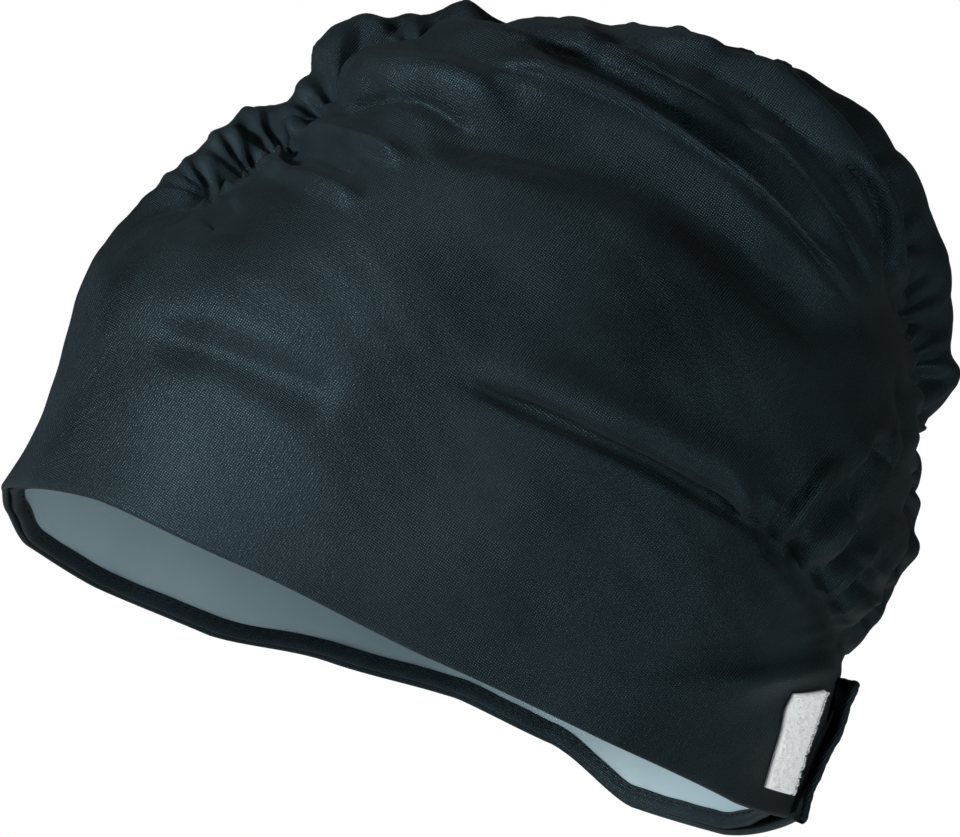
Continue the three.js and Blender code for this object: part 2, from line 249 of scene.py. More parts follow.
# %% Long folds: start, middle, end, half width, rise on the near side and on the far side
FOLDS = [
    [0.52, 0.96, 0.71, 0.865, 0.9, 0.62, 0.012, -0.6, -0.4],
    [0.604, 0.96, 0.695, 0.913, 0.805, 0.812, 0.016, -0.6, -0.8],
    [0.743, 0.928, 0.882, 0.777, 0.914, 0.621, 0.022, 0.8, 0.5],
    [0.48, 0.916, 0.72, 0.81, 0.906, 0.594, 0.021, 1.15, 0.8],
    [0.56, 0.965, 0.76, 0.86, 0.912, 0.62, 0.011, 0.7, 0.3],
    [0.66, 0.965, 0.83, 0.845, 0.922, 0.67, 0.011, 0.7, 0.3],
    [0.4, 0.845, 0.67, 0.785, 0.875, 0.56, 0.032, -0.9, -0.8],
    [0.474, 0.546, 0.656, 0.459, 0.792, 0.367, 0.009, -0.55, -0.4],
    [0.49, 0.575, 0.665, 0.49, 0.8, 0.4, 0.026, 0.5, 0.5],
    [0.792, 0.367, 0.847, 0.299, 0.878, 0.223, 0.013, -1.1, -1.1],
    [0.814, 0.346, 0.833, 0.387, 0.868, 0.45, 0.01, 0.5, 0.5],
    [0.823, 0.335, 0.865, 0.402, 0.909, 0.49, 0.012, 0.6, 0.5],
    [0.868, 0.363, 0.896, 0.442, 0.927, 0.466, 0.013, -0.7, -0.5],
    [0.882, 0.315, 0.917, 0.343, 0.941, 0.391, 0.016, 0.6, 0.6],
    [0.156, 0.602, 0.264, 0.562, 0.354, 0.507, 0.022, -0.42, -0.4],
    [0.639, 0.196, 0.708, 0.211, 0.847, 0.223, 0.014, -0.5, -0.4],
    [0.743, 0.176, 0.813, 0.203, 0.868, 0.208, 0.014, 0.4, 0.4],
    [0.716, 0.116, 0.764, 0.14, 0.823, 0.164, 0.012, -0.35, -0.35],
    [0.3, 0.822, 0.36, 0.835, 0.43, 0.8, 0.011, 0.6, 0.6],
    [0.27, 0.795, 0.32, 0.785, 0.385, 0.75, 0.011, 0.5, 0.5],
    [0.35, 0.872, 0.43, 0.905, 0.54, 0.855, 0.016, 0.9, 0.3],
    [0.36, 0.905, 0.46, 0.95, 0.6, 0.915, 0.014, 0.7, 0.3],
]

# %% [markdown]
# Creases use the same kind of row but are much narrower and have a sharp bottom. The first two are the
# side fold that runs back to the nape and the nape seam, where the upper cloth laps a little over the
# lower. The next ones are the tight lines along the crown, then those that run out of the knots, and
# last one down the back.

# %% Creases
CREASES = [
    [0.474, 0.546, 0.656, 0.459, 0.792, 0.367, 0.005, -0.6, -0.5],
    [0.792, 0.367, 0.847, 0.299, 0.878, 0.223, 0.005, -0.6, -0.5],
    [0.52, 0.96, 0.71, 0.865, 0.9, 0.62, 0.005, -0.55, -0.2],
    [0.46, 0.94, 0.715, 0.832, 0.91, 0.605, 0.006, -0.6, -0.2],
    [0.61, 0.958, 0.81, 0.83, 0.918, 0.63, 0.006, -0.6, -0.2],
    [0.68, 0.95, 0.83, 0.85, 0.925, 0.69, 0.005, -0.55, -0.2],
    [0.872, 0.82, 0.925, 0.745, 0.935, 0.61, 0.007, -1.2, -0.2],
    [0.245, 0.765, 0.225, 0.745, 0.213, 0.731, 0.006, -0.7, -0.3],
    [0.345, 0.862, 0.42, 0.885, 0.49, 0.835, 0.006, -0.8, -0.3],
    [0.288, 0.812, 0.33, 0.815, 0.375, 0.797, 0.006, -0.8, -0.3],
    [0.93, 0.575, 0.943, 0.478, 0.93, 0.43, 0.006, -0.3, -0.3],
]

# %% [markdown]
# To know how far a point of the cloth is from a fold, the point is put on the side sheet, and the
# nearest place on the fold's curve is looked for, one short stretch after the other.

# %% Places on the side sheet
def sheet_place(point):
    x = np.abs(point[..., 0])
    scale = 1 + x / sheet_eye
    y = sheet_mid_y + (point[..., 1] - sheet_mid_y) * scale
    up = (point[..., 2] - sheet_mid_z) * math.cos(sheet_tip) + x * math.sin(sheet_tip)
    z = sheet_mid_z + up * scale
    return opening_across + y / sheet_length, opening_up + z / sheet_height


curve_steps = 24


def nearest_on(row, across, up):
    s = np.linspace(0, 1, curve_steps + 1)
    wa, wb, wc = (1 - s) * (1 - 2 * s), 4 * s * (1 - s), s * (2 * s - 1)
    line_x = wa * row[0] + wb * row[2] + wc * row[4]
    line_y = (wa * row[1] + wb * row[3] + wc * row[5]) * sheet_height / sheet_length
    p = np.stack([across, up * sheet_height / sheet_length], -1)
    best = np.full(across.shape, 9.0)
    at = np.zeros(across.shape)
    side = np.zeros(across.shape)
    for i in range(curve_steps):
        from_x, from_y = line_x[i], line_y[i]
        run_x, run_y = line_x[i + 1] - from_x, line_y[i + 1] - from_y
        long = max(run_x ** 2 + run_y ** 2, 1e-12)
        t = np.clip(((p[..., 0] - from_x) * run_x + (p[..., 1] - from_y) * run_y) / long, 0, 1)
        off_x, off_y = p[..., 0] - from_x - t * run_x, p[..., 1] - from_y - t * run_y
        d = np.hypot(off_x, off_y)
        closer = d < best
        best = np.where(closer, d, best)
        at = np.where(closer, (i + t) / curve_steps, at)
        side = np.where(closer, np.sign(run_x * off_y - run_y * off_x), side)
    return best, at, side


print("side sheet:", sheet_length, "x", sheet_height, "mm")

# %% [markdown]
# A fold is round across, so its height falls off like a bell. A crease falls off at once, with a point.
# Both fade at their ends, and near the centre seam, where the thread has the say.

# %% How far folds and creases lift the cloth
def fold_rise(point):
    across, up = sheet_place(point)
    near = point[..., 0] > 0
    rise = np.zeros(across.shape)
    for row in FOLDS:
        d, at, _ = nearest_on(row, across, up)
        ends = (0.25 + smooth(0, 0.18, at)) * (1 - 0.9 * smooth(0.82, 1, at))
        rise += np.where(near, row[7], row[8]) * ends * np.exp(-(d / row[6]) ** 2)
    return fold_unit * rise * smooth(1, 9, np.abs(point[..., 0]))


lapped_creases = 2
lap_height, lap_start, lap_reach = 0.3, 0.004, 0.035


def crease_rise(point):
    across, up = sheet_place(point)
    near = point[..., 0] > 0
    rise = np.zeros(across.shape)
    for row in CREASES:
        d, at, _ = nearest_on(row, across, up)
        ends = smooth(0, 0.2, at) * (1 - smooth(0.8, 1, at))
        rise += np.where(near, row[7], row[8]) * ends * np.exp(-d / row[6])
    for row in CREASES[:lapped_creases]:
        d, at, side = nearest_on(row, across, up)
        ends = smooth(0, 0.3, at) * (1 - smooth(0.9, 1, at))
        lap = lap_height * (1 - np.exp(-d / lap_start)) * np.exp(-d / lap_reach)
        rise += np.where(side > 0, lap, 0) * ends
    return fold_unit * rise * smooth(0, 4, np.abs(point[..., 0]))


print("folds:", len(FOLDS), " creases:", len(CREASES))

# %% [markdown]
# ## The fine gathers
# A gathering thread crowds a long edge into a short one, so the cloth stands in small round pleats with
# sharp valleys between them, crossing the seam. Close to the seam the pleats are fine, and further out
# they join into fewer, larger ones and fade. Three sizes of pleat, each with its own reach and with an
# uneven spacing, give that. The same rule serves the centre seam and the short seams at the nape.

# %% Pleats across a seam
def pleats(place, pitch, seed):
    wander = 0.45 * np.sin(2 * np.pi * place / (pitch * 4.7) + seed)
    wander += 0.3 * np.sin(2 * np.pi * place / (pitch * 2.6) + 2.3 * seed)
    return np.abs(np.cos(np.pi * (place / pitch + wander))) - 0.6


print("one pleat of 8 mm:", np.round(pleats(np.arange(0, 8.5, 2), 8, 0), 2))

# %% [markdown]
# Here and there the thread is knotted, and the cloth runs out of the knot in a small fan of folds. Each
# knot has its angle over the crown, how hard it pulls, and how far the fan reaches in millimetres.

# %% Knots and their fans
KNOTS = [
    [21, 0.8, 9], [27.5, 0.8, 8], [32.5, 1.1, 10], [37.5, 0.7, 8], [43.5, 1.3, 13], [58, 0.8, 11],
    [72, 0.7, 12], [88, 0.8, 12], [103, 0.8, 13], [117, 0.8, 12], [128, 0.9, 12], [137, 0.9, 12],
    [143, 1.1, 12], [151, 1.3, 14], [160, 0.9, 10], [170, 0.8, 10], [178, 0.8, 9],
]
over_crown_radius = 100
folds_in_fan = 9
dimple_radius = 3.2


def knot_fans(place, off):
    height = np.zeros(place.shape)
    for number, (angle, pull, reach) in enumerate(KNOTS):
        run = place - math.radians(angle) * over_crown_radius
        r = np.hypot(run, off)
        round_it = np.arctan2(run, off)
        folds = np.cos(folds_in_fan * round_it + 1.3 * np.sin(2 * round_it + number) + 2.1 * number)
        height += 2.1 * pull * folds * smooth(1.0, 5.0, r) * np.exp(-r / reach)
        height -= 2.6 * pull * np.exp(-(r / dimple_radius) ** 2)
    return height


print("knots:", len(KNOTS))

# %% [markdown]
# The pleats of the centre seam lean forward above the brow and backward behind the crown. On the far
# side they are lower, at the front and from the crown back, where the cloth is fuller and smoother.

# %% Gathers of the centre seam
fine_pitch, middle_pitch, large_pitch = 3.7, 8.3, 15.0


def centre_gathers(point):
    angle, _ = seam_angle(point)
    place = np.radians(angle) * over_crown_radius
    off = off_seam(point)
    x = np.abs(off)
    seed = np.where(off > 0, 0.7, 3.1)
    held = along(PUFF, angle, 3)
    slant = 0.75 - 0.9 * smooth(55, 135, angle)
    sweep = place - slant * x + 1.6 * np.sin(0.16 * x + 0.07 * place)
    calmer = 0.75 * smooth(80, 100, angle) + 0.45 * (1 - smooth(38, 48, angle))
    crisp = np.where(off > 0, 1, 1 - calmer)
    fine = 0.8 * crisp * pleats(sweep, fine_pitch, seed) * np.exp(-x / 5) * smooth(0, 1.5, x)
    middle = 1.25 * crisp * pleats(sweep, middle_pitch, seed + 1) * np.exp(-x / 13) * smooth(0, 4, x)
    large = 1.3 * pleats(sweep, large_pitch, seed + 2) * np.exp(-x / 22) * smooth(2, 12, x)
    return held * (fine + middle + large + knot_fans(place, off))


print("pleat sizes at the centre seam:", fine_pitch, middle_pitch, large_pitch, "mm")

# %% [markdown]
# The short seam at the nape is knobbly, because the thread bunches the cloth in small beads. Above it
# the pleats open like a fan towards the back; below it they die out quickly.

# %% Gathers of the nape seam
NAPE_SEAM = [0.76, 0.405, 0.838, 0.31, 0.881, 0.225]

# Pleats that stand on the nape seam: start, middle and end on the side sheet, half width and rise.
NAPE_PLEATS = [
    [0.772, 0.385, 0.772, 0.405, 0.768, 0.43, 0.007, 0.5],
    [0.79, 0.37, 0.8, 0.395, 0.806, 0.42, 0.007, 0.6],
    [0.806, 0.352, 0.838, 0.405, 0.885, 0.47, 0.01, 0.8],
    [0.824, 0.335, 0.868, 0.37, 0.91, 0.44, 0.01, 0.8],
    [0.845, 0.31, 0.885, 0.325, 0.922, 0.375, 0.009, 0.8],
    [0.862, 0.28, 0.89, 0.285, 0.915, 0.31, 0.008, 0.6],
    [0.798, 0.362, 0.82, 0.4, 0.845, 0.435, 0.006, -0.5],
    [0.815, 0.343, 0.855, 0.385, 0.9, 0.455, 0.006, -0.7],
    [0.836, 0.32, 0.88, 0.348, 0.918, 0.405, 0.006, -0.7],
    [0.855, 0.295, 0.89, 0.303, 0.918, 0.34, 0.006, -0.6],
]


nape_seam_length = 46
bead_pitch, fan_pitch = 2.9, 5.2


def nape_gathers(point):
    across, up = sheet_place(point)
    d, at, side = nearest_on(NAPE_SEAM, across, up)
    d = d * sheet_length
    run = at * nape_seam_length
    ends = smooth(0, 0.12, at) * (1 - smooth(0.94, 1, at) * 0.6)
    above = np.where(side > 0, 1.0, 0.5)
    reach = np.where(side > 0, 1.0, 0.5)
    knobs = 1.9 * pleats(run, bead_pitch, 1.9) * np.exp(-d / (3.5 * reach))
    middle = 2.6 * pleats(run + 0.3 * d, fan_pitch, 0.4) * np.exp(-d / (15 * reach)) * smooth(0, 3, d)
    rise = ends * above * (knobs + middle) - 0.9 * ends * np.exp(-(d / 1.6) ** 2)
    for row in NAPE_PLEATS:
        d, at, _ = nearest_on(row, across, up)
        fade = smooth(0, 0.15, at) * (1 - smooth(0.6, 1, at))
        rise += fold_unit * 0.9 * row[7] * fade * np.exp(-(d / row[6]) ** 2)
    return rise * smooth(3, 10, np.abs(point[..., 0]))


print("pleats on the nape seam:", len(NAPE_PLEATS))

# %% [markdown]
# No cloth lies quite even. Three slow waves of a tenth or two of a millimetre, in different directions,
# keep the smooth parts from looking like a shell of plastic.

# %% Soft waves of the smooth parts
def soft_waves(point):
    y, z = point[..., 1], point[..., 2]
    wave = 0.16 * np.sin(0.17 * y + 0.11 * z + 1.1 * np.sin(0.06 * z))
    wave += 0.13 * np.sin(0.31 * z - 0.12 * y + 1.7 * np.sin(0.045 * y) + point[..., 0] * 0.05)
    wave += 0.08 * np.sin(0.52 * y + 0.37 * z + 2.0 * np.sin(0.09 * y))
    return wave


side_middle = np.array([half_width, 0.0, 60.0])
print("soft wave at the side:", round(float(soft_waves(side_middle)), 3), "mm")

# %% [markdown]
# ## The slit and its two tabs
# At the nape the cloth is slit up from the rim so that the cap can be drawn tight. The near tab lies
# close along the form and ends short of the middle. The far tab stands free behind it. Both stand a
# little further off towards their free ends.

# %% Slit, tabs and where the columns of the cloth run
slit_share = 4 / 26
near_tab_end = 85.5
far_tab_end = 83
near_tab_root = 62
far_tab_root = 122
near_tab_flare = 1.6
far_tab_flare = 4.8


def near_flare(turn, share):
    drop = np.sqrt(1 - smooth(0, slit_share, share))
    on_tab = (turn > near_tab_root - 2) & (turn < 90.01)
    return np.where(on_tab, near_tab_flare * smooth(near_tab_root, near_tab_end, turn) * drop, 0)


def far_flare(turn, share):
    drop = np.maximum(0, 1 - (share / slit_share) ** 3)
    free = 1 - smooth(far_tab_end + 3, 90, turn)
    out = far_tab_flare * (1 - smooth(far_tab_end - 6, far_tab_root, turn))
    return out * (drop * (1 - free) + free)


print("tabs stand off by up to", near_tab_flare, "and", far_tab_flare, "mm")

# %% [markdown]
# How far the cloth stands off the form is the puff plus the long folds. Near the rim both are eased out,
# because the band lies close. Where a deep valley would go through the form, it is stopped softly. The
# soft stop already lifts cloth without slack by 0.44 mm, and that is taken off again.
#
# The columns of the grid run closer together at the brow and the nape, where the gathers are, and the
# first of them bend back along the end of the near tab.

# %% Lift of the cloth, and where its columns run
band_share = 24 / form_height / 1.15
least_lift = 0.2
soft_stop = 1.2
stop_at_rest = 0.44
column_bunch = 12


def cloth_lift(turn, share, far):
    point = form_point(turn, share)
    normal = form_normal(turn, share)
    puff = puff_height(point)
    puffed = point + normal * puff[..., None]
    ease = smooth(-0.002, band_share, share)
    slack = (puff + fold_rise(puffed)) * ease
    stopped = np.where(slack < soft_stop, soft_stop * np.exp(slack / soft_stop - 1), slack)
    lift = stopped - stop_at_rest + least_lift
    flare = np.where(far, far_flare(turn, share), near_flare(turn, share))
    return point, normal, lift + flare, ease


def column_turn(column, share):
    turn = 90 - column * 360
    packed = turn + column_bunch * np.sin(np.radians(2 * turn))
    opened = np.sqrt(1 - smooth(0, slit_share, share))
    end = 90 - (90 - near_tab_end) * np.minimum(1, opened * 1.6)
    on_near = (share < slit_share) & (packed >= 0)
    return np.where(on_near, packed / 90 * end, packed)


print("the brow band reaches", round(100 * band_share), "hundredths of the way up")

# %% [markdown]
# ## Weaving it together: one mesh for the whole cloth
# The cloth is one grid, from the rim to the crown and once round the form. It is worked out in two
# passes. The first lays the slack and the long folds along the form's own direction. The second adds
# creases and gathers square to the cloth as it then lies, so that a pleat on the flank of a puff
# stands out sideways and not straight up.

# %% Grid of the cloth
columns = 356
rows = 250
tab_columns = 14
slit_row = int(round(slit_share * rows))
valley_stop = 0.6


def grid_normals(points):
    around = np.roll(points, -1, 1) - np.roll(points, 1, 1)
    upward = np.gradient(points, axis=0)
    return unit(np.cross(upward, around))


def dressed(points, normals, ease, room):
    detail = crease_rise(points) + centre_gathers(points) + nape_gathers(points)
    detail = (detail + soft_waves(points)) * ease
    lowest = -room + least_lift
    above = detail - lowest
    detail = np.where(above < valley_stop, lowest + valley_stop * np.exp(above / valley_stop - 1), detail)
    return points + normals * detail[..., None]


column_share, row_share = np.meshgrid(np.arange(columns) / columns, np.arange(rows) / rows)
turns = column_turn(column_share, row_share)
wrapped = np.where(turns < -90, turns + 360, turns)
far_side = (wrapped > 90) & (wrapped < 200) & (row_share < slit_share)
base, normal, lift, ease = cloth_lift(wrapped, row_share, far_side)
laid = base + normal * (lift + cloth_thickness)[..., None]
true_normal = grid_normals(laid)
true_normal *= np.sign((true_normal * normal).sum(-1, keepdims=True))
cloth = dressed(laid, true_normal, ease, lift + cloth_thickness)
print("cloth grid:", columns, "x", rows)

# %% [markdown]
# The far tab goes on past the middle of the nape for a few columns below the slit top, so it is a small
# grid of its own that shares its first edge with the cloth. Its free edge curls out and is a little wavy,
# as a turned and sewn edge is.

# %% Grid of the free end of the far tab
end_share, low_share = np.meshgrid(np.arange(tab_columns + 1) / tab_columns,
                                   np.arange(slit_row + 1) / rows)
end_flare = 1.2
end_turn = 90 - (90 - far_tab_end) * end_share
end_base, end_normal, end_lift, _ = cloth_lift(end_turn, low_share, True)
far_end = end_base + end_normal * (end_lift + cloth_thickness)[..., None]
curl_out = 0.3 * np.sin(low_share * 60 + end_share * 2) + 0.15 * np.sin(low_share * 131 + 1)
far_end += end_normal * (curl_out * end_share + end_flare * end_share ** 3)[..., None]
print("far tab stands", round(float(end_lift.max()), 1), "mm off the form")

# %% [markdown]
# The cloth's edge at the rim isn't a cut: it turns under in a small round fold. A few short rows that
# curl inwards below the rim give that fold its thickness.

# %% Turn the rim under
up_axis = np.array([0, math.sin(rim_slope), math.cos(rim_slope)])
fold_radius = 0.85
fold_steps = 5
turned_up = 1.2


def turned_under(edge, edge_normal):
    curled = []
    for step in range(fold_steps + 1, 0, -1):
        angle = math.pi * min(step, fold_steps) / fold_steps
        inward = edge_normal * (-fold_radius * (1 - math.cos(angle)))
        down = up_axis * (-fold_radius * math.sin(angle) + (turned_up if step > fold_steps else 0))
        curled.append(edge + inward + down)
    return np.array(curled)


curl = turned_under(cloth[0], normal[0])
end_curl = turned_under(far_end[0], end_normal[0])
full = np.concatenate([curl, cloth])
end_full = np.concatenate([end_curl, far_end])
print("rows with the turned edge:", full.shape[0])

# %% [markdown]
# Every piece becomes a mesh in the same way: points in millimetres are brought to metres, faces are
# shaded smooth, and the piece rides on the body of the cap.

# %% Make a mesh from points and faces
def add_mesh(name, points, faces):
    mesh = bpy.data.meshes.new(name)
    mesh.from_pydata((np.asarray(points) / 1000).tolist(), [], faces)
    mesh.polygons.foreach_set("use_smooth", [True] * len(mesh.polygons))
    mesh.update()
    piece = bpy.data.objects.new(name, mesh)
    bpy.context.collection.objects.link(piece)
    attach(piece, "root")
    return piece

# %% [markdown]
# The big grid and the small grid of the far tab are numbered one after the other. At the top of the slit
# the two grids share a point, and one point at the crown closes the last ring.

# %% Number the points of the cloth
cut_row = slit_row + fold_steps + 1
points = list(full.reshape(-1, 3))
number = np.arange(full.shape[0] * columns).reshape(full.shape[0], columns)
end_number = np.arange(end_full.shape[0] * end_full.shape[1]).reshape(end_full.shape[:2]) + len(points)
points += list(end_full.reshape(-1, 3))
end_number[cut_row, 0] = number[cut_row, 0]
crown_number = len(points)
points.append(full[-1].mean(0))
print("cloth points:", len(points))

# %% Faces of the cloth
faces = []
for j in range(full.shape[0] - 1):
    for i in range(columns - 1):
        faces.append((number[j, i], number[j + 1, i], number[j + 1, i + 1], number[j, i + 1]))
    if j >= cut_row:
        faces.append((number[j, -1], number[j + 1, -1], number[j + 1, 0], number[j, 0]))
    else:
        faces.append((number[j, -1], number[j + 1, -1], end_number[j + 1, 0], end_number[j, 0]))
for j in range(cut_row):
    for i in range(tab_columns):
        faces.append((end_number[j, i], end_number[j + 1, i],
                      end_number[j + 1, i + 1], end_number[j, i + 1]))
for i in range(columns):
    faces.append((number[-1, i], crown_number, number[-1, (i + 1) % columns]))
cap_cloth = add_mesh("cloth", points, faces)
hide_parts("cap_cloth")
print("cloth triangles:", sum(len(p.vertices) - 2 for p in cap_cloth.data.polygons))

# %% [markdown]
# ## Rolled edges of the tabs
# The cut edges of the tabs are turned over and sewn, which leaves a round rolled edge. A thin tube along
# each edge is enough to show it.

# %% Tubes along the tab edges
def tube(name, path, radius, sides=8, uneven=0.0):
    path = np.asarray(path)
    direction = unit(np.gradient(path, axis=0))
    side = unit(np.cross(direction, np.array([0.31, 0.2, 0.93])))
    other = np.cross(direction, side)
    rings = []
    for k, p in enumerate(path):
        r = radius * (1 + uneven * math.sin(k * 1.7) * math.sin(k * 0.6 + 1))
        for s in range(sides):
            angle = 2 * math.pi * s / sides
            rings.append(p + r * (math.cos(angle) * side[k] + math.sin(angle) * other[k]))
    quads = []
    for k in range(len(path) - 1):
        for s in range(sides):
            a, b = k * sides + s, k * sides + (s + 1) % sides
            quads.append((a, b, b + sides, a + sides))
    quads.append(tuple(range(sides))[::-1])
    quads.append(tuple(range((len(path) - 1) * sides, len(path) * sides)))
    return add_mesh(name, rings, quads)


edge_depth = 0.8
near_edge_path = cloth[0:slit_row - 1, 0] - normal[0:slit_row - 1, 0] * edge_depth
far_edge_path = np.concatenate([far_end[:, -1], far_end[-1, ::-1][1:]])
far_edge_normal = np.concatenate([end_normal[:, -1], end_normal[-1, ::-1][1:]])
far_edge_path = far_edge_path - far_edge_normal * edge_depth
near_edge = tube("near_tab_edge", near_edge_path, 0.95, uneven=0.12)
far_edge = tube("far_tab_edge", far_edge_path, 1.0, uneven=0.12)
print("rolled edges:", len(near_edge_path), "and", len(far_edge_path), "steps")

# %% [markdown]
# ## The pale inside
# The cloth is coated on the back, and the coating shows pale grey-blue and smooth inside the far wall.
# It could be the cloth's own back face with a second material, but the cloth stands off in puffs and the
# inside is drawn smooth. So it is a sheet of its own just inside the form, with a notch at the slit.

# %% Lining sheet
lining_columns = 220
lining_rows = 90
lining_start, lining_end = 0.012, 0.995
lining_depth = 1.1
column_l, row_l = np.meshgrid(np.arange(lining_columns + 1) / lining_columns,
                              np.arange(lining_rows + 1) / lining_rows)
share_l = lining_start + (lining_end - lining_start) * row_l
even_turn = 90 - column_l * 360
turn_l = (even_turn + column_bunch * np.sin(np.radians(2 * even_turn))) % 360
lining_base, lining_normal = form_point(turn_l, share_l), form_normal(turn_l, share_l)
soft = 0.18 * np.sin(np.radians(turn_l) * 9 + 3 * share_l) + 0.12 * np.sin(share_l * 21 + 2)
lining_points = lining_base - lining_normal * (lining_depth + soft)[..., None]
print("lining grid:", lining_columns, "x", lining_rows)

# %% Faces of the lining, with the notch at the slit
notch_from, notch_to = 84, 93
lining_number = np.arange(lining_points.shape[0] * lining_points.shape[1])
lining_number = lining_number.reshape(lining_points.shape[:2])
lining_faces = []
for j in range(lining_rows):
    for i in range(lining_columns):
        middle = turn_l[j, i]
        if share_l[j, i] < slit_share and notch_from < middle < notch_to:
            continue
        lining_faces.append((lining_number[j, i], lining_number[j, i + 1],
                             lining_number[j + 1, i + 1], lining_number[j + 1, i]))
same_place = 0.00001
lining = add_mesh("lining_sheet", lining_points.reshape(-1, 3), lining_faces)
bm = bmesh.new()
bm.from_mesh(lining.data)
bmesh.ops.remove_doubles(bm, verts=bm.verts, dist=same_place)
bm.to_mesh(lining.data)
bm.free()
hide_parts("lining")
print("lining faces:", len(lining.data.polygons))

# %% [markdown]
# ## The turned-in hem
# Below the lining the cloth is turned in and sewn down: a dark strip a few millimetres tall that runs
# round the inside of the rim. It is a closed band with round corners, a little wavy along its length.

# %% Stitch helper
stitch_steps, stitch_sides = 5, 6


def stitches(name, places, outward, long, gap, radius):
    places, outward = np.asarray(places), np.asarray(outward)
    steps = np.concatenate([[0], np.cumsum(np.linalg.norm(np.diff(places, axis=0), axis=1))])
    shape, quads = [], []
    for n in range(int(steps[-1] / (long + gap))):
        middle = (n + 0.5) * (long + gap)
        ends = [middle - long / 2, middle + long / 2]
        a, b = [np.array([np.interp(e, steps, places[:, k]) for k in range(3)]) for e in ends]
        out = unit(np.array([np.interp(middle, steps, outward[:, k]) for k in range(3)]))
        run = unit(b - a)
        side = np.cross(run, out)
        first = len(shape)
        for k in range(stitch_steps + 1):
            t = k / stitch_steps
            lift = math.sin(math.pi * t) * radius * 1.6 - radius * 0.5
            r = radius * (0.35 + 0.65 * math.sin(math.pi * t) ** 0.5)
            for s in range(stitch_sides):
                angle = 2 * math.pi * s / stitch_sides
                across_it = out * (lift + r * math.cos(angle)) + side * r * math.sin(angle)
                shape.append(a + (b - a) * t + across_it)
        last = first + stitch_steps * stitch_sides
        for c_row in range(first, last, stitch_sides):
            for s in range(stitch_sides):
                c, d = c_row + s, c_row + (s + 1) % stitch_sides
                quads.append((c, d, d + stitch_sides, c + stitch_sides))
        quads.append(tuple(range(first, first + stitch_sides))[::-1])
        quads.append(tuple(range(last, last + stitch_sides)))
    return add_mesh(name, shape, quads)

# %% [markdown]
# The band is swept round the rim. Its profile is a closed loop of heights above the rim and depths
# inside the form, in millimetres, going round from the lower outer corner.

# %% Hem strip
hem_columns = 420
hem_profile = [(0.35, 0.25), (0.2, 1.0), (0.35, 1.7), (1.2, 2.0), (2.3, 1.85), (3.1, 1.7),
               (3.7, 1.95), (4.1, 1.8), (4.2, 1.4), (4.0, 0.5)]
hem_far_end = -267
steepness = 1.49


def per_height(height):
    return height / form_height / steepness


hem_share = np.linspace(0, 1, hem_columns)
hem_turn = near_tab_end - 1 - hem_share * (near_tab_end - 1 - hem_far_end)
wobble = 0.15 * np.sin(hem_share * 240) + 0.1 * np.sin(hem_share * 97 + 1)
hem_points = []
for height, inward in hem_profile:
    share = np.full(hem_columns, per_height(height)) + wobble * 0.001
    inner_side = form_normal(hem_turn, share) * (inward + wobble)[:, None]
    hem_points.append(form_point(hem_turn, share) - inner_side)
hem_points = np.array(hem_points)
hem_number = np.arange(hem_points.shape[0] * hem_columns).reshape(hem_points.shape[:2])
hem_faces = []
for j in range(len(hem_profile)):
    k = (j + 1) % len(hem_profile)
    for i in range(hem_columns - 1):
        hem_faces.append((hem_number[j, i], hem_number[j, i + 1],
                          hem_number[k, i + 1], hem_number[k, i]))
hem_faces.append(tuple(hem_number[:, 0]))
hem_faces.append(tuple(hem_number[::-1, -1]))
hem = add_mesh("turned_hem", hem_points.reshape(-1, 3), hem_faces)
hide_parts("hem_strip")
print("hem:", hem_profile[-2][0], "mm tall")

# %% Stitches along the hem
stitch_line = 5
seam_share = np.full(hem_columns, per_height(hem_profile[stitch_line][0]))
inner_way = -form_normal(hem_turn, seam_share)
hem_stitches = stitches("hem_stitches", hem_points[stitch_line], inner_way, 2.0, 0.8, 0.22)
print("hem stitch points:", len(hem_stitches.data.vertices))

# %% [markdown]
# ## The closure
# The near tab carries the soft half of the closure, a strip of white loop pile. The far tab carries the
# hook half, which is dark and faces inwards. Both strips are thin slabs that follow their tab; the
# loops get an uneven top and fine curled threads.

# %% A strip that follows its tab
strip_grid = (56, 66)
dip_at_edge = 0.55


def patch_on(turns, heights, far, off, thick, name, grid=strip_grid, rough=0.0, lean=0.0, rise=0.0):
    across, tall = grid
    turn_from, turn_to = turns
    along_it, up_it = np.meshgrid(np.linspace(0, 1, across), np.linspace(0, 1, tall))
    turn = turn_from + (turn_to - turn_from) * along_it + lean * up_it
    height = heights[0] + (heights[1] - heights[0] + rise * along_it) * up_it
    base, normal, lift, _ = cloth_lift(turn, per_height(height), far)
    bumps = np.random.default_rng(7).random((tall, across)) * rough
    edge = np.ones((tall, across))
    edge[0] = edge[-1] = dip_at_edge
    edge[:, 0] = edge[:, -1] = dip_at_edge
    top = base + normal * (lift + off + thick * edge + bumps * edge)[..., None]
    low = base + normal * (lift + off)[..., None]
    n = across * tall
    number = np.arange(n).reshape(tall, across)
    flip = turn_from < turn_to
    faces = []
    for j in range(tall - 1):
        for i in range(across - 1):
            quad = (number[j, i], number[j, i + 1], number[j + 1, i + 1], number[j + 1, i])
            faces.append(quad if flip else quad[::-1])
    ring = list(number[0]) + list(number[1:, -1]) + list(number[-1, -2::-1]) + list(number[-2:0:-1, 0])
    for k, a in enumerate(ring):
        b = ring[(k + 1) % len(ring)]
        quad = (b, a, a + n, b + n)
        faces.append(quad if flip else quad[::-1])
    for j in range(tall - 1):
        for i in range(across - 1):
            quad = (number[j, i] + n, number[j + 1, i] + n,
                    number[j + 1, i + 1] + n, number[j, i + 1] + n)
            faces.append(quad if flip else quad[::-1])
    piece = add_mesh(name, np.concatenate([top.reshape(-1, 3), low.reshape(-1, 3)]), faces)
    return piece, top, normal

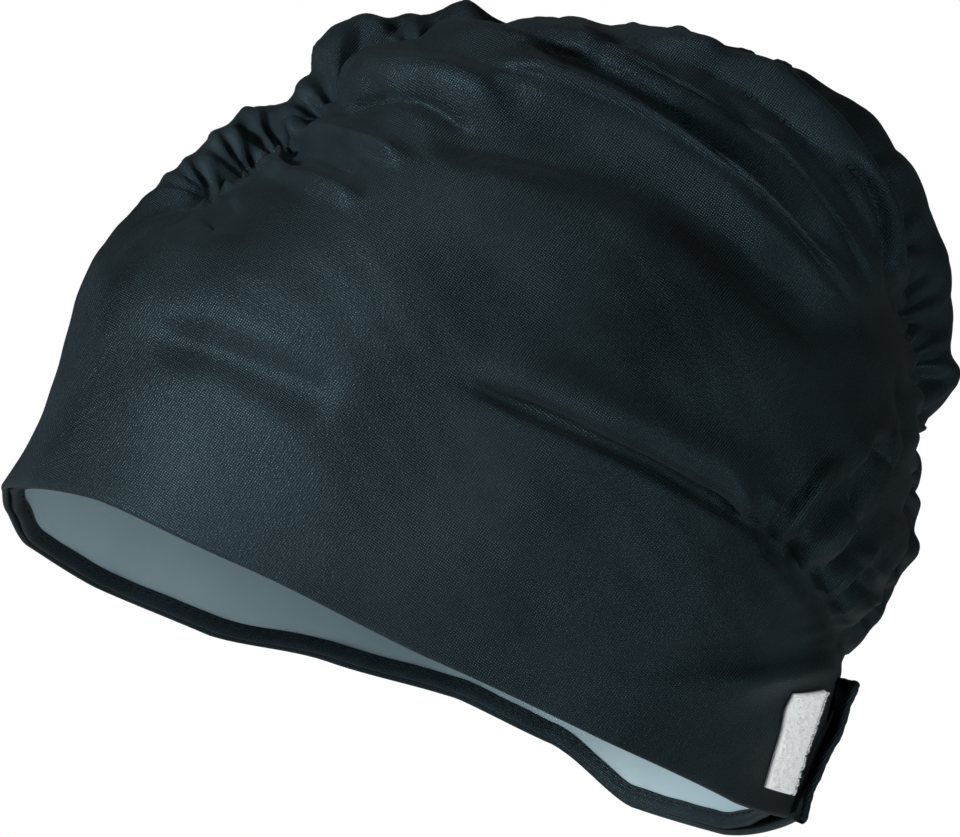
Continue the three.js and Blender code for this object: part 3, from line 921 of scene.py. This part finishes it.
# %% [markdown]
# The loop strip leans with the edge of its tab and its top runs square to that edge, so its turn and its
# height both shift a little from one end to the other. The hook strip is thinner and plain.

# %% Loop strip and hook strip
loops, loop_top, loop_normal = patch_on((66.5, 77), (5, 26.5), False, cloth_thickness + 0.1, 1.3,
                                        "loop_pile", rough=0.25, lean=-3.5, rise=3.6)
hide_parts("loop_strip")
hooks, _, _ = patch_on((85, 99), (6, 27), True, -1.0, 0.9, "hook_tape", grid=(24, 30))
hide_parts("hook_strip")
print("loop strip:", round(float(np.linalg.norm(loop_top[0, 0] - loop_top[0, -1])), 1), "x",
      round(float(np.linalg.norm(loop_top[0, 0] - loop_top[-1, 0])), 1), "mm")

# %% [markdown]
# Loop pile is a mat of small curled threads. A few hundred short arcs stand on the strip, leaning every
# way, and some hang over its cut edge, which is what makes the edge look soft.

# %% Curled threads on the loop strip
thread_count = 700
thread_radius = 0.06
arc_steps, arc_sides = 4, 3
over_edge_every = 5
edge_column = strip_grid[0] - 2
chance = np.random.default_rng(11)
curls, curl_faces = [], []
for n in range(thread_count):
    j, i = int(chance.integers(1, strip_grid[1] - 1)), int(chance.integers(1, strip_grid[0] - 1))
    if n % over_edge_every == 0:
        i = edge_column
    root, out = loop_top[j, i], loop_normal[j, i]
    lean = unit(np.cross(out, chance.normal(size=3)))
    high = 0.35 + 0.35 * chance.random()
    wide = 0.5 + 0.5 * chance.random()
    first = len(curls)
    for k in range(arc_steps + 1):
        t = k / arc_steps
        middle = root + lean * wide * (t - 0.5) + out * high * math.sin(math.pi * t)
        side = np.cross(lean, out)
        for s in range(arc_sides):
            angle = 2 * math.pi * s / arc_sides
            curls.append(middle + thread_radius * (math.cos(angle) * out + math.sin(angle) * side))
    for k in range(arc_steps):
        ring_start = first + arc_sides * k
        for s in range(arc_sides):
            a, b = ring_start + s, ring_start + (s + 1) % arc_sides
            curl_faces.append((a, b, b + arc_sides, a + arc_sides))
threads = add_mesh("loop_threads", curls, curl_faces)
print("curled threads:", thread_count)

# %% [markdown]
# The tape and the tab edges are sewn on with a dark thread. A row of short stitches shows on the inner
# face of the far tab beside its rolled edge.

# %% Stitches on the far tab
stitch_column = tab_columns - 3
sewn_out = end_normal[2:-1, stitch_column]
sewn_line = far_end[2:-1, stitch_column] - sewn_out * 0.1
far_stitches = stitches("far_tab_stitches", sewn_line, -sewn_out, 1.7, 0.9, 0.28)
print("far tab stitch points:", len(far_stitches.data.vertices))

# %% [markdown]
# ## The look of the cloth
# The cloth is a fine satin-faced weave: almost black, a little blue-green, matte from straight on and
# paler where it turns away, because its short floats catch the light. A photo of cloth could be laid on,
# but it would bring its own light and folds with it, so the weave is drawn by wave and noise patterns.

# %% Material helpers
def material(name, colour, rough):
    made = bpy.data.materials.new(name)
    made.use_nodes = True
    shader = made.node_tree.nodes["Principled BSDF"]
    shader.inputs["Base Color"].default_value = (*colour, 1)
    shader.inputs["Roughness"].default_value = rough
    return made, made.node_tree, shader


def node(tree, kind, **values):
    made = tree.nodes.new(kind)
    for key, value in values.items():
        setattr(made, key, value)
    return made


def put(piece, made):
    piece.data.materials.clear()
    piece.data.materials.append(made)


print("materials so far:", len(bpy.data.materials))

# %% [markdown]
# The weave is two crossing sets of diagonal ribs, a little over half a millimetre apart. A pattern laid
# along the rows and columns of the grid would spread where the grid spreads, and threads don't. So the
# ribs are laid on straight from the side, the front and the top, and the three are blended by the way
# the cloth faces. The side counts most, because most of the cap faces sideways.

# %% Start of the cloth material
cloth_made, tree, shader = material("satin_cloth", (0.014, 0.021, 0.025), 0.38)
link = tree.links.new
spot = node(tree, "ShaderNodeTexCoord")
split = node(tree, "ShaderNodeSeparateXYZ")
link(spot.outputs["Object"], split.inputs[0])
facing = node(tree, "ShaderNodeSeparateXYZ")
link(spot.outputs["Normal"], facing.inputs[0])


def maths(operation, *values):
    made = node(tree, "ShaderNodeMath", operation=operation)
    for number, value in enumerate(values):
        if isinstance(value, (int, float)):
            made.inputs[number].default_value = value
        else:
            link(value, made.inputs[number])
    return made.outputs[0]


print("cloth nodes so far:", len(tree.nodes))

# %% Ribs of the weave: how far each set is turned, and how fine it is
RIB_SETS = [
    (0.62, 540),
    (-0.95, 620),
]
facing_power = 6.0
side_counts = 10.0


def ribs_seen_along(axis):
    first, second = [k for k in (0, 1, 2) if k != axis]
    flat = node(tree, "ShaderNodeCombineXYZ")
    link(split.outputs[first], flat.inputs[0])
    link(split.outputs[second], flat.inputs[1])
    sets = []
    for turn_by, fineness in RIB_SETS:
        turned = node(tree, "ShaderNodeMapping")
        turned.inputs["Rotation"].default_value = (0, 0, turn_by)
        link(flat.outputs[0], turned.inputs["Vector"])
        wave = node(tree, "ShaderNodeTexWave", wave_type="BANDS", bands_direction="X")
        wave.inputs["Scale"].default_value = fineness
        wave.inputs["Distortion"].default_value = 0.8
        wave.inputs["Detail"].default_value = 1.0
        link(turned.outputs["Vector"], wave.inputs["Vector"])
        sets.append(wave.outputs["Fac"])
    weight = maths("POWER", maths("ABSOLUTE", facing.outputs[axis]), facing_power)
    if axis == 0:
        weight = maths("MULTIPLY", weight, side_counts)
    return maths("MULTIPLY", sets[0], sets[1]), weight


ribs = [ribs_seen_along(axis) for axis in (0, 1, 2)]
total = maths("ADD", maths("ADD", ribs[0][1], ribs[1][1]), ribs[2][1])
mixed_ribs = maths("ADD", maths("ADD", maths("MULTIPLY", *ribs[0]), maths("MULTIPLY", *ribs[1])),
                   maths("MULTIPLY", *ribs[2]))
crossed = maths("DIVIDE", mixed_ribs, total)
print("cloth nodes with the ribs:", len(tree.nodes))

# %% [markdown]
# Ribs alone look printed. Fine specks stand for single threads that catch the light, and a slow patchy
# tone for cloth that has been washed and folded. The product of ribs and specks plus the patchy tone
# drives the colour, from nearly black up to a dark blue-green.

# %% Colour of the cloth
specks = node(tree, "ShaderNodeTexNoise")
specks.inputs["Scale"].default_value = 1500
specks.inputs["Detail"].default_value = 1.0
link(spot.outputs["Object"], specks.inputs["Vector"])
patchy = node(tree, "ShaderNodeTexNoise")
patchy.inputs["Scale"].default_value = 26
patchy.inputs["Detail"].default_value = 3.0
link(spot.outputs["Object"], patchy.inputs["Vector"])
lightness = node(tree, "ShaderNodeMath", operation="MULTIPLY_ADD")
link(crossed, lightness.inputs[0])
link(specks.outputs["Fac"], lightness.inputs[1])
link(patchy.outputs["Fac"], lightness.inputs[2])
shade = node(tree, "ShaderNodeValToRGB")
shade.color_ramp.elements[0].position = 0.3
shade.color_ramp.elements[0].color = (0.0008, 0.0012, 0.0015, 1)
shade.color_ramp.elements[1].position = 1.0
shade.color_ramp.elements[1].color = (0.014, 0.023, 0.027, 1)
link(lightness.outputs[0], shade.inputs["Fac"])
link(shade.outputs["Color"], shader.inputs["Base Color"])
print("cloth colour from", [round(v, 4) for v in shade.color_ramp.elements[0].color[:3]], "to",
      [round(v, 4) for v in shade.color_ramp.elements[1].color[:3]])

# %% [markdown]
# The same ribs and specks lift the surface a little, so that the weave also shows in the shine. The shine
# itself is weak and bluish: it is what draws the pale satin bands along the folds.

# %% Relief and shine of the cloth
height = node(tree, "ShaderNodeMath", operation="ADD")
link(crossed, height.inputs[0])
link(specks.outputs["Fac"], height.inputs[1])
bump = node(tree, "ShaderNodeBump")
bump.inputs["Strength"].default_value = 0.9
bump.inputs["Distance"].default_value = 0.0002
link(height.outputs[0], bump.inputs["Height"])
link(bump.outputs["Normal"], shader.inputs["Normal"])
shader.inputs["Sheen Weight"].default_value = 0.04
shader.inputs["Sheen Roughness"].default_value = 0.4
shader.inputs["Sheen Tint"].default_value = (0.62, 0.78, 0.85, 1)
shader.inputs["Specular IOR Level"].default_value = 0.21
shader.inputs["Specular Tint"].default_value = (0.47, 0.83, 1.0, 1)
for piece in (cap_cloth, near_edge, far_edge, hem):
    put(piece, cloth_made)
print("cloth nodes in all:", len(tree.nodes))

# %% [markdown]
# The hem and the rolled edges are turned over from the same cloth and wear the same material. Only the
# sewing thread differs: it is matte and a shade darker.

# %% Sewing thread
hem_made, tree, shader = material("hem_cloth", (0.006, 0.0085, 0.0095), 0.8)
spot = node(tree, "ShaderNodeTexCoord")
grain = node(tree, "ShaderNodeTexNoise")
grain.inputs["Scale"].default_value = 900
tree.links.new(spot.outputs["Object"], grain.inputs["Vector"])
bump = node(tree, "ShaderNodeBump")
bump.inputs["Strength"].default_value = 0.4
bump.inputs["Distance"].default_value = 0.0003
tree.links.new(grain.outputs["Fac"], bump.inputs["Height"])
tree.links.new(bump.outputs["Normal"], shader.inputs["Normal"])
shader.inputs["Sheen Weight"].default_value = 0.02
shader.inputs["Specular IOR Level"].default_value = 0.12
for piece in (hem_stitches, far_stitches):
    put(piece, hem_made)
print("sewing thread on", hem_stitches.name, "and", far_stitches.name)

# %% [markdown]
# The coated inside is smooth and matte, and only a faint mottling shows that there is cloth under it.
# The loop pile is off-white and dry. The hook tape is dark plastic.

# %% Coated inside
lining_made, tree, shader = material("coated_back", (0.34, 0.45, 0.49), 0.6)
spot = node(tree, "ShaderNodeTexCoord")
mottle = node(tree, "ShaderNodeTexNoise")
mottle.inputs["Scale"].default_value = 60
mottle.inputs["Detail"].default_value = 4
tree.links.new(spot.outputs["Object"], mottle.inputs["Vector"])
tone = node(tree, "ShaderNodeValToRGB")
tone.color_ramp.elements[0].position = 0.3
tone.color_ramp.elements[0].color = (0.235, 0.34, 0.375, 1)
tone.color_ramp.elements[1].position = 0.7
tone.color_ramp.elements[1].color = (0.265, 0.375, 0.415, 1)
tree.links.new(mottle.outputs["Fac"], tone.inputs["Fac"])
tree.links.new(tone.outputs["Color"], shader.inputs["Base Color"])
put(lining, lining_made)
print("lining nodes:", len(tree.nodes))

# %% Loop pile and hook tape
loops_made, tree, shader = material("loop_pile", (0.95, 0.99, 0.99), 0.9)
spot = node(tree, "ShaderNodeTexCoord")
fuzz = node(tree, "ShaderNodeTexNoise")
fuzz.inputs["Scale"].default_value = 1300
tree.links.new(spot.outputs["Object"], fuzz.inputs["Vector"])
bump = node(tree, "ShaderNodeBump")
bump.inputs["Strength"].default_value = 0.6
bump.inputs["Distance"].default_value = 0.0003
tree.links.new(fuzz.outputs["Fac"], bump.inputs["Height"])
tree.links.new(bump.outputs["Normal"], shader.inputs["Normal"])
shader.inputs["Sheen Weight"].default_value = 0.4
put(loops, loops_made)
put(threads, loops_made)

hooks_made, tree, shader = material("hook_tape", (0.012, 0.014, 0.016), 0.5)
put(hooks, hooks_made)
print("materials:", len(bpy.data.materials))

# %% [markdown]
# ## The area of the sheets
# The cloth is one long piece, and the lining is the same cut without the gathers. The area of each sheet
# as it lies is printed: the cloth, the lining and the hem.

# %% Sheets and their areas
def area_of(piece):
    return sum(p.area for p in piece.data.polygons)


for piece in (cap_cloth, lining, hem):
    print(piece.name, "area", round(area_of(piece), 4), "m2")

# %% [markdown]
# ## Floor, light and camera
# The cap is held up from inside, so it hangs over a plain pale floor. The camera sees a white room, but
# the cloth is lit by a nearly dark one, because black satin shows its folds only by single lights.

# %% Floor
floor_low, floor_reach = -0.42, 8
corners = [(-1, -1), (1, -1), (1, 1), (-1, 1)]
floor_points = [(x * floor_reach, y * floor_reach, floor_low) for x, y in corners]
floor_mesh = bpy.data.meshes.new("floor")
floor_mesh.from_pydata(floor_points, [], [(0, 1, 2, 3)])
floor = bpy.data.objects.new("floor", floor_mesh)
bpy.context.collection.objects.link(floor)
floor_made, tree, shader = material("pale_floor", (0.9, 0.9, 0.9), 0.8)
put(floor, floor_made)
print("floor at", floor_low, "m")

# %% White backdrop and dim room
world = bpy.data.worlds.new("studio")
bpy.context.scene.world = world
world.use_nodes = True
room = world.node_tree
backdrop = room.nodes["Background"]
backdrop.inputs["Color"].default_value = (1.0, 1.0, 1.0, 1)
backdrop.inputs["Strength"].default_value = 1.0
dim_room = node(room, "ShaderNodeBackground")
dim_room.inputs["Color"].default_value = (0.9, 0.96, 1.0, 1)
dim_room.inputs["Strength"].default_value = 0.028
seen = node(room, "ShaderNodeLightPath")
either = node(room, "ShaderNodeMixShader")
room.links.new(seen.outputs["Is Camera Ray"], either.inputs["Fac"])
room.links.new(dim_room.outputs["Background"], either.inputs[1])
room.links.new(backdrop.outputs["Background"], either.inputs[2])
room.links.new(either.outputs["Shader"], room.nodes["World Output"].inputs["Surface"])
print("room light:", round(dim_room.inputs["Strength"].default_value, 3))

# %% [markdown]
# The key light stands above on the brow side and is small, so that each pleat has a light and a dark
# flank. A weak one from the top lifts the crown. A wide one behind and below softens the nape, and a
# low one is aimed at the closure and the pale inside.

# %% Lights: place, aim, width in metres and power in watts
def soft_light(name, place, aim, width, power):
    lamp = bpy.data.lights.new(name, "AREA")
    lamp.shape = "DISK"
    lamp.size = width
    lamp.energy = power
    made = bpy.data.objects.new(name, lamp)
    made.location = place
    made.rotation_mode = "QUATERNION"
    made.rotation_quaternion = (Vector(aim) - Vector(place)).to_track_quat("-Z", "Y")
    bpy.context.collection.objects.link(made)
    return made


soft_light("key", (0.6, -1.15, 0.42), (0, 0, 0.05), 0.24, 24.5)
soft_light("top", (0.3, -0.35, 1.25), (0, 0, 0.06), 0.4, 1.6)
soft_light("fill", (1.0, 0.9, -0.1), (0, 0.06, 0.0), 1.1, 1.6)
soft_light("low", (0.8, 0.62, -0.3), (0.03, 0.1, -0.02), 0.3, 4)
print("lights:", len(bpy.data.lights))

# %% [markdown]
# The camera looks from the side and a little from below, from far enough that the cap isn't drawn out
# of shape. Its distance and picture width are the ones given for the side sheet.

# %% Camera
film_width = 36
camera_data = bpy.data.cameras.new("camera")
camera_data.sensor_width = film_width
camera_data.lens = film_width * sheet_eye / sheet_length
camera = bpy.data.objects.new("camera", camera_data)
target = Vector((0, sheet_mid_y / 1000, sheet_mid_z / 1000))
back = Vector((math.cos(sheet_tip), 0, -math.sin(sheet_tip)))
camera.location = target + back * (sheet_eye / 1000)
camera.rotation_mode = "QUATERNION"
camera.rotation_quaternion = (-back).to_track_quat("-Z", "Y")
bpy.context.collection.objects.link(camera)
bpy.context.scene.camera = camera
bpy.context.scene.view_settings.view_transform = "Standard"
print("camera", [round(v, 3) for v in camera.location])
